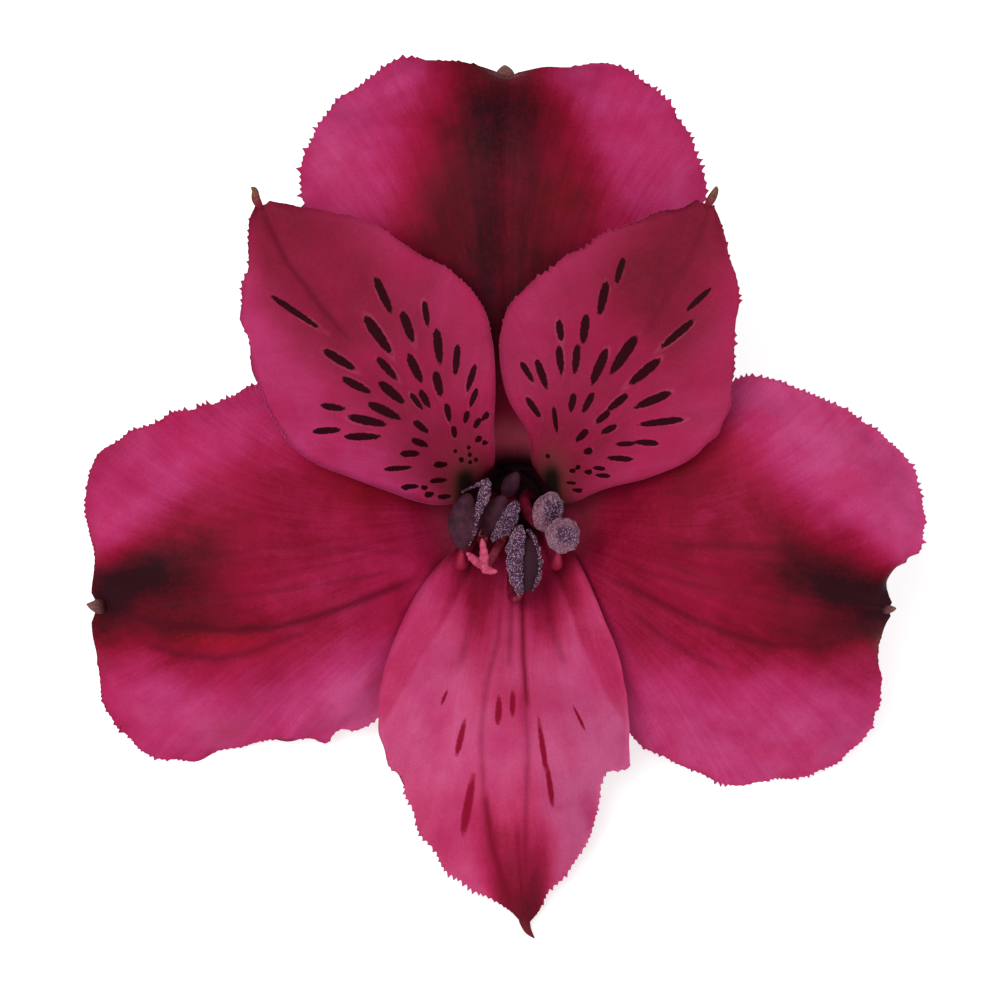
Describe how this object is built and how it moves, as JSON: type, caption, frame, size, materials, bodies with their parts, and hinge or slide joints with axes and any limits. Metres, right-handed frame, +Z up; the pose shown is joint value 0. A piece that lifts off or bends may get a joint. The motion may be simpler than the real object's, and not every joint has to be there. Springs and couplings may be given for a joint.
{
  "type": "alstroemeria blossom",
  "caption": "Single alstroemeria blossom as picked, lying face up: broad outer tepals, flecked inner tepals, stamens, style, ovary and a short stalk stub.",
  "frame": {"origin": "centre of the bottom of the bounding box, on the surface that the blossom lies on", "axes": "+Z up; the flower's mouth faces -Y and up, leaning 42.5 degrees from +Z; +X is to the right of someone who looks into it"},
  "size_m": [0.0694, 0.0572, 0.0453],
  "materials": {
    "outer_tepal": "matt velvety petal, magenta with a dark crimson middle",
    "inner_tepal": "matt velvety petal, magenta pink with near-black flecks",
    "filament": "satin, rose red",
    "anther": "matt, grey maroon under lilac pollen",
    "style": "satin, rose pink",
    "ovary": "satin green, ribbed",
    "pedicel": "satin green"
  },
  "bodies": {
    "root": {"outer_tepal_top": "outer_tepal", "outer_tepal_left": "outer_tepal", "outer_tepal_right": "outer_tepal", "inner_tepal_left": "inner_tepal", "inner_tepal_right": "inner_tepal", "inner_tepal_lower": "inner_tepal", "filament_left": "filament", "filament_middle_left": "filament", "filament_lower": "filament", "filament_middle_right": "filament", "filament_right": "filament", "filament_upper": "filament", "anther_left": "anther", "anther_middle_left": "anther", "anther_lower": "anther", "anther_middle_right": "anther", "anther_right": "anther", "anther_upper": "anther", "style": "style", "ovary": "ovary", "pedicel": "pedicel"}
  },
  "joints": []
}
